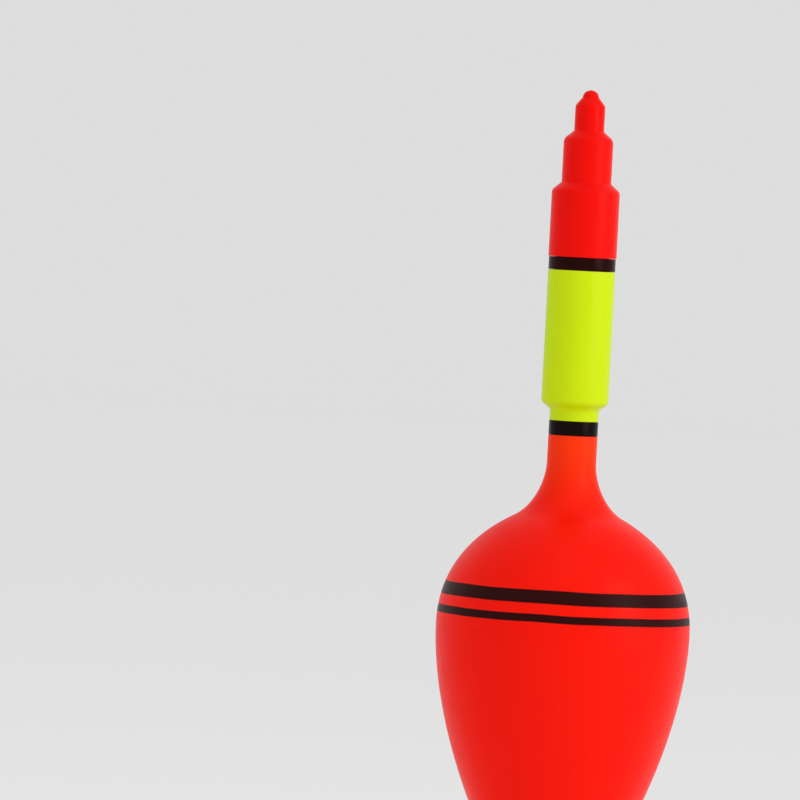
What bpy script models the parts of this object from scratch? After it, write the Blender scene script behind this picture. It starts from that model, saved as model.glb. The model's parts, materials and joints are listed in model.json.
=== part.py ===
# Bobber float: a big-bellied hollow body with a stepped lamp tail and a swivel snap under its foot.
# Sizes below are in millimetres and become metres in mm(). +Z is up, the origin lies on the
# axis at the widest circle, which is also the waterline.
import math

import bmesh
import bpy
from mathutils import Vector

# ---- driving dimensions, mm --------------------------------------------------------------

# hollow body
BELLY_RADIUS = 20.0
SHELL_WALL = 1.4
SHOULDER_HEIGHT = 26.3
NECK_RADIUS = 3.88
NECK_LENGTH = 4.2
SHOULDER_TURN = (0.293, 0.668)
SHOULDER_SLOPE = 1.9
SHOULDER_HANDLES = (3.0, 3.5, 6.0, 9.5)
LOWER_HEIGHT = 45.0
FOOT_RADIUS = 3.6
FOOT_SLOPE = 0.8
FOOT_HANDLES = (16.0, 12.0)
LAP_HEIGHT = 2.0
LAP_CLEARANCE = 0.12
FOAM_CLEARANCE = 0.3

# stem, ballast and foot
STEM_RADIUS = 2.7
STEM_WALL = 0.8
BALLAST_RADIUS = 6.4
BALLAST_HEIGHT = 6.0
BALLAST_CHAMFER = 0.6
FERRULE_FLANGE_RADIUS = 3.4
FERRULE_FLANGE_HEIGHT = 1.2
FERRULE_TIP_RADIUS = 2.0
FERRULE_CONE_HEIGHT = 3.3
FERRULE_SPIGOT_LENGTH = 5.0
EYE_SHANK_LENGTH = 4.5

# tail
NECK_RING_WIDTH = 2.3
TAIL_END_LENGTH = 1.8
TAIL_END_RADIUS = 3.84
TAIL_CHAMFER_HEIGHT = 1.0
TAIL_CHAMFER_ROUND = 0.6
TAIL_LENGTH = 20.85
TAIL_RADIUS = 5.28
TAIL_BORE_RADIUS = 4.45
STEM_SOCKET_DEPTH = 3.0
SEPTUM_THICKNESS = 1.2
TOP_RING_WIDTH = 2.1
TOP_RING_RADIUS = 5.27

# tip cap
CAP_BASE_RADIUS = 5.36
CAP_BASE_LENGTH = 11.7
CAP_BASE_SHOULDER = 1.25
CAP_MIDDLE_RADIUS = 3.91
CAP_MIDDLE_LENGTH = 8.15
CAP_MIDDLE_SHOULDER = 1.3
CAP_TIP_RADIUS = 2.35
CAP_TIP_LENGTH = 5.3
CAP_TIP_SHOULDER = 1.3
NUB_RADIUS = 1.28
NUB_HEIGHT = 1.15
CAP_EDGE_ROUND = 1.0
CAP_SPIGOT_LENGTH = 6.0
CAP_BORE_RADIUS = 3.0
CAP_END_WALL = 1.9
O_RING_SECTION = 0.33
O_RING_DEPTH = 3.2

# light stick and its grip
STICK_RADIUS = 2.25
STICK_WALL = 0.5
STICK_PLUG_LENGTH = 3.0
AMPOULE_RADIUS = 1.2
AMPOULE_MARGIN = 2.5
SLEEVE_LENGTH = 9.0

# eyes, swivel and snap
FOOT_EYE_WIRE = 0.45
FOOT_EYE_RADIUS = 2.05
EYE_STANDOFF = 2.1
SWIVEL_WIRE = 0.4
SWIVEL_EYE_RADIUS = 1.7
LINK_CLEARANCE = 0.12
BARREL_RADIUS = 1.75
BARREL_LENGTH = 6.4
BARREL_WALL = 0.42
BARREL_STANDOFF = 0.3
PIVOT_SHANK_RADIUS = 0.5
PIVOT_HEAD_RADIUS = 1.0
PIVOT_HEAD_LENGTH = 1.6
CLASP_THICKNESS = 1.7
CLASP_SLOT = 1.0
CLASP_RIM = 0.62
CLASP_HALF_WIDTH = 2.3
CLASP_PIN_DROP = 4.4
CLASP_BELOW_PIN = 1.5
PIN_RADIUS = 0.32
PIN_HEAD_RADIUS = 0.62
PIN_HEAD_LENGTH = 0.3
PIN_OFFSET = 1.3
SNAP_WIRE = 0.35
SNAP_HALF_WIDTH = 2.95
SNAP_LENGTH = 10.5
SNAP_ROOT_RADIUS = 0.85

# clearances between pieces
SEAT_GAP = 0.06
FIT_CLEARANCE = 0.12
RUNNING_CLEARANCE = 0.15

# faceting
BODY_STEPS = 36
TAIL_STEPS = 28
SMALL_STEPS = 16
CURVE_POINTS = 8
FILLET_SEGMENTS = 3

# ---- heights, mm, stacked from the waterline ---------------------------------------------

neckTop = SHOULDER_HEIGHT + NECK_LENGTH
tailBottom = neckTop + NECK_RING_WIDTH
tailWide = tailBottom + TAIL_END_LENGTH + TAIL_CHAMFER_HEIGHT
tailTop = tailWide + TAIL_LENGTH
capBottom = tailTop + TOP_RING_WIDTH
capMiddleBottom = capBottom + CAP_BASE_LENGTH
capTipBottom = capMiddleBottom + CAP_MIDDLE_LENGTH
capShoulderTop = capTipBottom + CAP_TIP_LENGTH
capTop = capShoulderTop + NUB_HEIGHT
septumBottom = tailBottom + STEM_SOCKET_DEPTH
septumTop = septumBottom + SEPTUM_THICKNESS
capBoreTop = capTipBottom - CAP_END_WALL
stemBore = STEM_RADIUS + RUNNING_CLEARANCE
stemInner = STEM_RADIUS - STEM_WALL
footBottom = -LOWER_HEIGHT
ferruleBottom = footBottom - FERRULE_FLANGE_HEIGHT - FERRULE_CONE_HEIGHT

footEyeCentre = ferruleBottom - EYE_STANDOFF - FOOT_EYE_WIRE - FOOT_EYE_RADIUS
footPivot = footEyeCentre - FOOT_EYE_RADIUS
upperEyeCentre = footPivot + FOOT_EYE_WIRE + SWIVEL_WIRE + LINK_CLEARANCE - SWIVEL_EYE_RADIUS
barrelTop = upperEyeCentre - SWIVEL_EYE_RADIUS - SWIVEL_WIRE - BARREL_STANDOFF
barrelBottom = barrelTop - BARREL_LENGTH
lowerEyeCentre = barrelBottom - BARREL_STANDOFF - SWIVEL_WIRE - SWIVEL_EYE_RADIUS
snapPivot = lowerEyeCentre - SWIVEL_EYE_RADIUS
pinHeight = snapPivot - CLASP_PIN_DROP


# ---- small tools -------------------------------------------------------------------------

def mm(*values):
    """Millimetres to metres, as a vector."""
    return Vector([value * 0.001 for value in values])


def rounded(corners, segments=FILLET_SEGMENTS, closed=True):
    """Outline through (across, up, fillet) corners, with an arc of each fillet radius."""
    points = []
    last = len(corners) - 1
    for index, (across, up, fillet) in enumerate(corners):
        corner = Vector((across, up))
        if fillet == 0 or (not closed and index in (0, last)):
            points.append(corner)
            continue
        before = Vector(corners[index - 1][:2]) - corner
        after = Vector(corners[(index + 1) % len(corners)][:2]) - corner
        half = before.angle(after) / 2
        reach = min(fillet / math.tan(half), 0.49 * before.length, 0.49 * after.length)
        radius = reach * math.tan(half)
        middle = corner + (before.normalized() + after.normalized()).normalized() * radius / math.sin(half)
        start = corner + before.normalized() * reach - middle
        end = corner + after.normalized() * reach - middle
        sweep = start.angle_signed(end)
        for step in range(segments + 1):
            turn = -sweep * step / segments
            arm = Vector((start.x * math.cos(turn) - start.y * math.sin(turn),
                          start.x * math.sin(turn) + start.y * math.cos(turn)))
            points.append(middle + arm)
    return points


def cubic(start, start_handle, end_handle, end, count=CURVE_POINTS):
    """Points along one cubic curve, both ends included."""
    points = []
    for step in range(count):
        t = step / (count - 1)
        s = 1 - t
        points.append(start * s ** 3 + start_handle * 3 * s * s * t
                      + end_handle * 3 * s * t * t + end * t ** 3)
    return points


def offset_inwards(points, distance):
    """Outline points moved towards the axis side along their own normals."""
    moved = []
    for index, point in enumerate(points):
        before = points[max(index - 1, 0)]
        after = points[min(index + 1, len(points) - 1)]
        along = (after - before).normalized()
        moved.append(point + Vector((along.y, -along.x)) * distance)
    return moved


def material(name, colour, roughness, metallic=0.0, alpha=1.0):
    """Principled material with the piece's colour, roughness and metallic value."""
    made = bpy.data.materials.new(name)
    made.use_nodes = True
    shader = made.node_tree.nodes["Principled BSDF"]
    shader.inputs["Base Color"].default_value = (*colour, 1.0)
    shader.inputs["Roughness"].default_value = roughness
    shader.inputs["Metallic"].default_value = metallic
    shader.inputs["Alpha"].default_value = alpha
    return made


def pivot(name, height, parent, across=0.0):
    """Empty on a joint's axis; pieces that move with the joint are its children."""
    empty = bpy.data.objects.new(name, None)
    empty.empty_display_size = 0.004
    parts.objects.link(empty)
    settle(empty, mm(0, across, height), parent)
    return empty


def settle(piece, place, parent):
    """Give a piece its world place under its parent."""
    piece.parent = parent
    piece["world"] = tuple(place)
    piece.location = place - Vector(parent["world"]) if parent else place


def finish(piece, name, look, place, parent, collection=None):
    """Name a piece, give it its material and put it in its collection."""
    piece.name = name
    piece.data.name = name
    for owner in list(piece.users_collection):
        owner.objects.unlink(piece)
    (collection or parts).objects.link(piece)
    piece.data.materials.clear()
    if look:
        piece.data.materials.append(look)
    settle(piece, place, parent)
    return piece


def as_cutter(piece):
    """Hide a guide or cutter from renders."""
    piece.hide_render = True
    piece.display_type = "WIRE"
    return piece


def turned(name, outline, look, height, parent, steps, collection=None):
    """Turned piece: an outline at +X, running down its outer side, spun about the axis."""
    mesh = bpy.data.meshes.new(name)
    points = [mm(radius, 0, level - height) for radius, level in outline]
    edges = [(index, index + 1) for index in range(len(points) - 1)]
    if outline[0][0] > 0:
        edges.append((len(points) - 1, 0))
    mesh.from_pydata(points, edges, [])
    piece = bpy.data.objects.new(name, mesh)
    finish(piece, name, look, mm(0, 0, height), parent, collection)
    screw = piece.modifiers.new("spin", "SCREW")
    screw.axis = "Z"
    screw.angle = math.tau
    screw.steps = steps
    screw.render_steps = steps
    screw.use_merge_vertices = True
    screw.merge_threshold = 0.000001
    screw.use_smooth_shade = True
    return piece


def join(piece, other, operation):
    """Boolean a cutter or an added shape into a piece."""
    boolean = piece.modifiers.new(other.name, "BOOLEAN")
    boolean.operation = operation
    boolean.solver = "EXACT"
    boolean.object = as_cutter(other)
    return boolean


def wire_ring(name, look, height, radius, wire, parent, across_x):
    """Closed wire eye standing upright, its plane along X or along Y."""
    turn = (math.pi / 2, 0, 0) if across_x else (0, math.pi / 2, 0)
    bpy.ops.mesh.primitive_torus_add(major_segments=24, minor_segments=10, rotation=turn,
                                     major_radius=radius * 0.001, minor_radius=wire * 0.001)
    ring = bpy.context.active_object
    ring.data.shade_smooth()
    return finish(ring, name, look, mm(0, 0, height), parent)


def to_mesh(curve_object, name, look, parent):
    """Make a finished curve a welded mesh with its place kept."""
    bpy.context.view_layer.update()
    graph = bpy.context.evaluated_depsgraph_get()
    mesh = bpy.data.meshes.new_from_object(curve_object.evaluated_get(graph))
    weld = bmesh.new()
    weld.from_mesh(mesh)
    bmesh.ops.remove_doubles(weld, verts=weld.verts, dist=0.000002)
    weld.to_mesh(mesh)
    weld.free()
    piece = bpy.data.objects.new(name, mesh)
    parts.objects.link(piece)
    world = Vector(curve_object["world"])
    piece.rotation_euler = curve_object.rotation_euler
    finish(piece, name, look, world, parent)
    curve = curve_object.data
    bpy.data.objects.remove(curve_object)
    bpy.data.curves.remove(curve)
    return piece


# ---- outlines of the hollow body ---------------------------------------------------------

def shoulder_outline():
    """Outer outline from the foot of the neck out to the widest circle, top to bottom."""
    turn = Vector((NECK_RADIUS + (BELLY_RADIUS - NECK_RADIUS) * SHOULDER_TURN[0],
                   SHOULDER_HEIGHT * SHOULDER_TURN[1]))
    along = Vector((SHOULDER_SLOPE, -1)).normalized()
    neck = Vector((NECK_RADIUS, SHOULDER_HEIGHT))
    belly = Vector((BELLY_RADIUS, 0))
    at_neck, before_turn, after_turn, at_belly = SHOULDER_HANDLES
    flare = cubic(neck, neck - Vector((0, at_neck)), turn - along * before_turn, turn)
    dome = cubic(turn, turn + along * after_turn, belly + Vector((0, at_belly)), belly)
    return flare + dome[1:]


def lower_outline():
    """Outer outline from the widest circle down to the foot."""
    belly = Vector((BELLY_RADIUS, 0))
    foot = Vector((FOOT_RADIUS, footBottom))
    along = Vector((-FOOT_SLOPE, -1)).normalized()
    at_belly, at_foot = FOOT_HANDLES
    return cubic(belly, belly - Vector((0, at_belly)), foot - along * at_foot, foot, 2 * CURVE_POINTS - 2)


def level_at_radius(points, radius):
    """Height at which an outline crosses a radius."""
    for upper, lower in zip(points, points[1:]):
        if (upper.x - radius) * (lower.x - radius) <= 0:
            share = (upper.x - radius) / (upper.x - lower.x)
            return upper.y + (lower.y - upper.y) * share
    return points[-1].y


def build_shells():
    lap_radius = BELLY_RADIUS - SHELL_WALL / 2
    lap_recess = LAP_HEIGHT + LAP_CLEARANCE
    outer = shoulder_outline()
    inner = [point for point in offset_inwards(outer, SHELL_WALL)
             if point.x > stemBore + SHELL_WALL / 4 and point.y > lap_recess + SHELL_WALL / 2]
    upper = [Vector((NECK_RADIUS, neckTop))] + outer[:-1]
    upper += [Vector((BELLY_RADIUS, SEAT_GAP)), Vector((lap_radius, SEAT_GAP)),
              Vector((lap_radius, lap_recess)),
              Vector((BELLY_RADIUS - SHELL_WALL - LAP_CLEARANCE, lap_recess))]
    upper += inner[::-1]
    upper += [Vector((stemBore, inner[0].y)), Vector((stemBore, neckTop))]
    turned("upper_shell", upper, looks["lacquer_red"], 0, body, BODY_STEPS)

    outer = lower_outline()
    hollow = offset_inwards(outer, SHELL_WALL)
    base = level_at_radius(hollow, BALLAST_RADIUS + FIT_CLEARANCE)
    inner = [point for point in hollow if base < point.y < -SHELL_WALL / 2]
    lower = [Vector((lap_radius - LAP_CLEARANCE, LAP_HEIGHT)), Vector((lap_radius - LAP_CLEARANCE, 0))]
    lower += outer
    lower += [Vector((stemBore, footBottom)), Vector((stemBore, base)),
              Vector((BALLAST_RADIUS + FIT_CLEARANCE, base))]
    lower += inner[::-1]
    lower += [Vector((BELLY_RADIUS - SHELL_WALL, -SHELL_WALL / 2)),
              Vector((BELLY_RADIUS - SHELL_WALL, LAP_HEIGHT))]
    turned("lower_shell", lower, looks["lacquer_deep_red"], 0, body, BODY_STEPS)
    return base


def build_foam(base):
    ballast_top = base + SEAT_GAP + BALLAST_HEIGHT + FOAM_CLEARANCE
    thickness = SHELL_WALL + FOAM_CLEARANCE
    bore = stemBore + FOAM_CLEARANCE
    dome = [point for point in offset_inwards(shoulder_outline(), thickness)
            if point.x > bore + FOAM_CLEARANCE and point.y > LAP_HEIGHT]
    cup = [point for point in offset_inwards(lower_outline(), thickness) if ballast_top < point.y < -SHELL_WALL]
    waist = BELLY_RADIUS - thickness - LAP_CLEARANCE
    foam = [Vector((bore, dome[0].y))] + dome + [Vector((waist, LAP_HEIGHT)), Vector((waist, -SHELL_WALL))]
    foam += cup + [Vector((bore, ballast_top))]
    turned("foam_core", foam, looks["foam"], 0, body, BODY_STEPS)


def build_core(base):
    stem_top = septumBottom - SEAT_GAP
    stem = [(STEM_RADIUS, stem_top), (STEM_RADIUS, footBottom), (stemInner, footBottom), (stemInner, stem_top)]
    turned("stem", stem, looks["glass_fibre"], footBottom, body, SMALL_STEPS)

    bottom = base + SEAT_GAP
    top = bottom + BALLAST_HEIGHT
    weight = [(BALLAST_RADIUS - BALLAST_CHAMFER, top), (BALLAST_RADIUS, top - BALLAST_CHAMFER),
              (BALLAST_RADIUS, bottom + BALLAST_CHAMFER), (BALLAST_RADIUS - BALLAST_CHAMFER, bottom),
              (stemBore, bottom), (stemBore, top)]
    turned("ballast", weight, looks["ballast_brass"], bottom, body, TAIL_STEPS)


def build_foot():
    seat = footBottom - SEAT_GAP
    spigot = stemInner - FIT_CLEARANCE
    shank_hole = FOOT_EYE_WIRE + FIT_CLEARANCE
    shank_top = ferruleBottom + EYE_SHANK_LENGTH
    ferrule = [(0, footBottom + FERRULE_SPIGOT_LENGTH), (spigot, footBottom + FERRULE_SPIGOT_LENGTH),
               (spigot, seat), (FERRULE_FLANGE_RADIUS, seat),
               (FERRULE_FLANGE_RADIUS, footBottom - FERRULE_FLANGE_HEIGHT),
               (FERRULE_TIP_RADIUS, ferruleBottom), (shank_hole, ferruleBottom),
               (shank_hole, shank_top + FIT_CLEARANCE), (0, shank_top + FIT_CLEARANCE)]
    turned("foot_ferrule", ferrule, looks["ferrule_brass"], footBottom, body, SMALL_STEPS)

    eye = wire_ring("foot_eye", looks["steel_wire"], footEyeCentre, FOOT_EYE_RADIUS, FOOT_EYE_WIRE, body, True)
    loop_top = footEyeCentre + FOOT_EYE_RADIUS
    shank = [(0, shank_top), (FOOT_EYE_WIRE, shank_top), (FOOT_EYE_WIRE, loop_top), (0, loop_top)]
    join(eye, turned("foot_eye_shank", shank, None, footEyeCentre, body, 12, cutters), "UNION")


def build_tail():
    ring = [(NECK_RADIUS, tailBottom - SEAT_GAP), (NECK_RADIUS, neckTop + SEAT_GAP),
            (stemBore, neckTop + SEAT_GAP), (stemBore, tailBottom - SEAT_GAP)]
    turned("neck_ring", ring, looks["black_rubber"], neckTop, body, TAIL_STEPS)

    floor = max(septumTop, tailBottom + TAIL_END_LENGTH)
    tube = rounded([(TAIL_RADIUS, tailTop, 0), (TAIL_RADIUS, tailWide, TAIL_CHAMFER_ROUND),
                    (TAIL_END_RADIUS, tailBottom + TAIL_END_LENGTH, TAIL_CHAMFER_ROUND),
                    (TAIL_END_RADIUS, tailBottom, 0),
                    (stemBore, tailBottom, 0), (stemBore, septumBottom, 0)])
    inside = rounded([(0, septumTop, 0), (CAP_BORE_RADIUS, septumTop, 0),
                      (TAIL_BORE_RADIUS, floor + TAIL_BORE_RADIUS - CAP_BORE_RADIUS, 0),
                      (TAIL_BORE_RADIUS, tailTop, 0)])
    outline = [(0, septumTop)] + [tuple(point) for point in inside[1:]]
    outline += [tuple(point) for point in tube] + [(0, septumBottom)]
    turned("tail_tube", outline, looks["yellow_plastic"], tailBottom, body, TAIL_STEPS)

    gasket = [(TOP_RING_RADIUS, capBottom - SEAT_GAP), (TOP_RING_RADIUS, tailTop + SEAT_GAP),
              (TAIL_BORE_RADIUS, tailTop + SEAT_GAP), (TAIL_BORE_RADIUS, capBottom - SEAT_GAP)]
    turned("top_ring", gasket, looks["black_rubber"], tailTop, body, TAIL_STEPS)


def build_cap():
    spigot = TAIL_BORE_RADIUS - RUNNING_CLEARANCE
    spigot_bottom = capBottom - CAP_SPIGOT_LENGTH
    ring_level = capBottom - O_RING_DEPTH
    ring_centre = TAIL_BORE_RADIUS - FIT_CLEARANCE - O_RING_SECTION
    groove = ring_centre - O_RING_SECTION - FIT_CLEARANCE
    groove_half = O_RING_SECTION + FIT_CLEARANCE
    step_one = CAP_BASE_RADIUS - CAP_MIDDLE_RADIUS
    step_two = CAP_MIDDLE_RADIUS - CAP_TIP_RADIUS
    nub = []
    for step in range(SMALL_STEPS // 2):
        turn = math.pi / 2 * step / (SMALL_STEPS // 2)
        nub.append(Vector((NUB_RADIUS * math.sin(turn), capTop - NUB_HEIGHT * (1 - math.cos(turn)))))
    crown = rounded([(NUB_RADIUS, capShoulderTop, 0),
                     (CAP_TIP_RADIUS, capShoulderTop - CAP_TIP_SHOULDER, CAP_EDGE_ROUND),
                     (CAP_TIP_RADIUS, capTipBottom, 0.2),
                     (CAP_TIP_RADIUS + step_two, capTipBottom - CAP_MIDDLE_SHOULDER, CAP_EDGE_ROUND),
                     (CAP_MIDDLE_RADIUS, capMiddleBottom, 0.2),
                     (CAP_MIDDLE_RADIUS + step_one, capMiddleBottom - CAP_BASE_SHOULDER, CAP_EDGE_ROUND),
                     (CAP_BASE_RADIUS, capBottom, 0)], closed=False)
    skirt = [(spigot, capBottom), (spigot, ring_level + groove_half), (groove, ring_level + groove_half),
             (groove, ring_level - groove_half), (spigot, ring_level - groove_half),
             (spigot, spigot_bottom), (CAP_BORE_RADIUS, spigot_bottom), (CAP_BORE_RADIUS, capBoreTop),
             (0, capBoreTop)]
    outline = [tuple(point) for point in nub + crown] + skirt
    turned("tip_cap", outline, looks["cap_red"], capBottom, cap, TAIL_STEPS)

    bpy.ops.mesh.primitive_torus_add(major_segments=TAIL_STEPS, minor_segments=8,
                                     major_radius=ring_centre * 0.001, minor_radius=O_RING_SECTION * 0.001)
    finish(bpy.context.active_object, "cap_o_ring", looks["black_rubber"], mm(0, 0, ring_level), cap)


def build_light_stick():
    top = capBoreTop - FIT_CLEARANCE
    bottom = septumTop + FIT_CLEARANCE
    inner = STICK_RADIUS - STICK_WALL
    plug = inner - SEAT_GAP
    outer = rounded([(STICK_RADIUS, top, 0), (STICK_RADIUS, bottom, STICK_RADIUS * 0.9), (0, bottom, 0)],
                    segments=4, closed=False)
    tube = [(0, bottom + STICK_WALL * 2), (inner * 0.7, bottom + STICK_WALL * 2.4),
            (inner, bottom + STICK_RADIUS), (inner, top)] + [tuple(point) for point in outer]
    turned("stick_tube", tube, looks["clear_plastic"], top, cap, SMALL_STEPS)

    plug_bottom = top - STICK_PLUG_LENGTH
    turned("stick_plug", [(0, top), (plug, top), (plug, plug_bottom), (0, plug_bottom)],
           looks["clear_plastic"], top, cap, SMALL_STEPS)

    ampoule = rounded([(0, plug_bottom - AMPOULE_MARGIN, 0),
                       (AMPOULE_RADIUS, plug_bottom - AMPOULE_MARGIN, AMPOULE_RADIUS * 0.9),
                       (AMPOULE_RADIUS, bottom + AMPOULE_MARGIN, AMPOULE_RADIUS * 0.9),
                       (0, bottom + AMPOULE_MARGIN, 0)], closed=False)
    turned("stick_ampoule", ampoule, looks["ampoule_glass"], bottom, cap, 12)

    sleeve_inner = STICK_RADIUS + SEAT_GAP
    sleeve_outer = CAP_BORE_RADIUS - SEAT_GAP
    sleeve_top = top - STICK_PLUG_LENGTH / 2
    sleeve_bottom = sleeve_top - SLEEVE_LENGTH
    turned("stick_sleeve", [(sleeve_outer, sleeve_top), (sleeve_outer, sleeve_bottom),
                            (sleeve_inner, sleeve_bottom), (sleeve_inner, sleeve_top)],
           looks["silicone"], sleeve_top, cap, SMALL_STEPS)


def pivot_shank(loop_level, barrel_end, inwards):
    """Shank that runs from an eye through the barrel's end to the head held inside."""
    inner_face = barrel_end + inwards * BARREL_WALL
    head_start = inner_face + inwards * FIT_CLEARANCE
    head_end = head_start + inwards * PIVOT_HEAD_LENGTH
    outline = [(0, loop_level), (PIVOT_SHANK_RADIUS, loop_level), (PIVOT_SHANK_RADIUS, head_start),
               (PIVOT_HEAD_RADIUS, head_start), (PIVOT_HEAD_RADIUS, head_end), (0, head_end)]
    return outline if inwards < 0 else outline[::-1]


def build_swivel():
    upper = wire_ring("swivel_upper_eye", looks["steel_wire"], upperEyeCentre, SWIVEL_EYE_RADIUS,
                      SWIVEL_WIRE, swing, False)
    outline = pivot_shank(upperEyeCentre - SWIVEL_EYE_RADIUS, barrelTop, -1)
    join(upper, turned("upper_eye_shank", outline, None, upperEyeCentre, swing, 16, cutters), "UNION")

    hole = PIVOT_SHANK_RADIUS + RUNNING_CLEARANCE
    inner = BARREL_RADIUS - BARREL_WALL
    shell = rounded([(hole, barrelTop, 0), (BARREL_RADIUS, barrelTop, 0.9), (BARREL_RADIUS, barrelBottom, 0.9),
                     (hole, barrelBottom, 0)], closed=False)
    floor = barrelBottom + BARREL_WALL
    ceiling = barrelTop - BARREL_WALL
    head = PIVOT_HEAD_RADIUS + RUNNING_CLEARANCE
    cavity = [(hole, floor), (head, floor), (inner, floor + inner - head), (inner, ceiling - inner + head),
              (head, ceiling), (hole, ceiling)]
    outline = [tuple(point) for point in shell] + cavity
    turned("swivel_barrel", outline, looks["swivel_brass"], (barrelTop + barrelBottom) / 2, barrel, 16)

    lower = wire_ring("swivel_lower_eye", looks["steel_wire"], lowerEyeCentre, SWIVEL_EYE_RADIUS,
                      SWIVEL_WIRE, eye_spin, True)
    outline = pivot_shank(lowerEyeCentre + SWIVEL_EYE_RADIUS, barrelBottom, 1)
    join(lower, turned("lower_eye_shank", outline, None, lowerEyeCentre, eye_spin, 16, cutters), "UNION")


def circle(across, up, radius, count):
    """Points of a full circle."""
    return [Vector((across + radius * math.cos(math.tau * step / count),
                    up + radius * math.sin(math.tau * step / count))) for step in range(count)]


def build_clasp():
    half_thickness = CLASP_THICKNESS / 2
    rise = SWIVEL_EYE_RADIUS - math.sqrt(SWIVEL_EYE_RADIUS ** 2 - half_thickness ** 2)
    hole = SWIVEL_WIRE + rise + LINK_CLEARANCE
    head = hole + CLASP_RIM
    bottom = -CLASP_PIN_DROP - CLASP_BELOW_PIN
    outline = rounded([(head, head, head), (-head, head, head), (-head, -head, 0.8),
                       (-CLASP_HALF_WIDTH, -head * 1.7, 0.8), (-CLASP_HALF_WIDTH, bottom, 0.7),
                       (CLASP_HALF_WIDTH, bottom, 0.7), (CLASP_HALF_WIDTH, -head * 1.7, 0.8),
                       (head, -head, 0.8)], segments=5)
    pin_hole = circle(-PIN_OFFSET, -CLASP_PIN_DROP, PIN_RADIUS + FIT_CLEARANCE, 16)
    curve = bpy.data.curves.new("clasp_outline", "CURVE")
    curve.dimensions = "2D"
    curve.fill_mode = "BOTH"
    curve.extrude = half_thickness * 0.001
    for loop in (outline, circle(0, 0, hole, 20), pin_hole):
        spline = curve.splines.new("POLY")
        spline.points.add(len(loop) - 1)
        for point, place in zip(spline.points, loop):
            point.co = (*mm(place.x, place.y, 0), 1)
        spline.use_cyclic_u = True
    plate = bpy.data.objects.new("clasp_outline", curve)
    parts.objects.link(plate)
    plate.rotation_euler = (math.pi / 2, 0, math.pi / 2)
    settle(plate, mm(0, 0, snapPivot), None)
    clasp = to_mesh(plate, "snap_clasp", looks["clasp_steel"], snap)

    slot_height = CLASP_BELOW_PIN + SNAP_ROOT_RADIUS + FIT_CLEARANCE + 1
    bpy.ops.mesh.primitive_cube_add(size=1)
    slot = bpy.context.active_object
    slot.scale = mm(CLASP_SLOT, CLASP_HALF_WIDTH * 3, slot_height)
    top = pinHeight + SNAP_ROOT_RADIUS + FIT_CLEARANCE
    finish(slot, "clasp_slot", None, mm(0, 0, top - slot_height / 2), snap, cutters)
    join(clasp, slot, "DIFFERENCE")

    reach = half_thickness + SEAT_GAP
    outline = [(0, reach + PIN_HEAD_LENGTH), (PIN_HEAD_RADIUS, reach + PIN_HEAD_LENGTH), (PIN_HEAD_RADIUS, reach),
               (PIN_RADIUS, reach), (PIN_RADIUS, -reach), (PIN_HEAD_RADIUS, -reach),
               (PIN_HEAD_RADIUS, -reach - PIN_HEAD_LENGTH), (0, -reach - PIN_HEAD_LENGTH)]
    pin = turned("snap_pin", outline, looks["pin_steel"], 0, snap, 16)
    pin.rotation_euler = (0, math.pi / 2, 0)
    settle(pin, mm(0, -PIN_OFFSET, pinHeight), snap)


def build_snap_wire():
    # route in the pin's own frame: down from the pin, round the wide bottom and up between the leaves
    left = PIN_OFFSET - SNAP_HALF_WIDTH
    right = PIN_OFFSET + SNAP_HALF_WIDTH
    below = -CLASP_BELOW_PIN
    route = rounded([(0, 0, 0), (0, below * 1.5, 1.2), (left, below * 3, 1.5),
                     (left, -SNAP_LENGTH, SNAP_HALF_WIDTH * 0.96), (right, -SNAP_LENGTH, SNAP_HALF_WIDTH * 0.96),
                     (right, below * 2.2, 1.5), (PIN_OFFSET * 2 + 0.1, below * 1.1, 0.8),
                     (PIN_OFFSET * 2 + 0.1, 0.2, 0)], segments=5, closed=False)
    curve = bpy.data.curves.new("snap_route", "CURVE")
    curve.dimensions = "3D"
    curve.bevel_depth = SNAP_WIRE * 0.001
    curve.bevel_resolution = 2
    curve.use_fill_caps = True
    spline = curve.splines.new("POLY")
    spline.points.add(len(route) - 1)
    for point, place in zip(spline.points, route):
        point.co = (*mm(0, place.x, place.y), 1)
    bent = bpy.data.objects.new("snap_route", curve)
    parts.objects.link(bent)
    settle(bent, mm(0, -PIN_OFFSET, pinHeight), None)
    wire = to_mesh(bent, "snap_wire", looks["spring_wire"], gate)

    quarter = (0, math.pi / 2, 0)
    for name, radius, depth, operation in (
            ("wire_root", SNAP_ROOT_RADIUS, SNAP_WIRE * 2, "UNION"),
            ("wire_root_hole", PIN_RADIUS + FIT_CLEARANCE, SNAP_WIRE * 6, "DIFFERENCE")):
        bpy.ops.mesh.primitive_cylinder_add(vertices=24, radius=radius * 0.001, depth=depth * 0.001,
                                            rotation=quarter)
        root = bpy.context.active_object
        finish(root, name, None, mm(0, -PIN_OFFSET, pinHeight), gate, cutters)
        join(wire, root, operation)


# ---- build -------------------------------------------------------------------------------

for leftover in list(bpy.data.objects):
    bpy.data.objects.remove(leftover)

parts = bpy.data.collections.new("bobber_float")
cutters = bpy.data.collections.new("cutters")
bpy.context.scene.collection.children.link(parts)
bpy.context.scene.collection.children.link(cutters)

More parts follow.
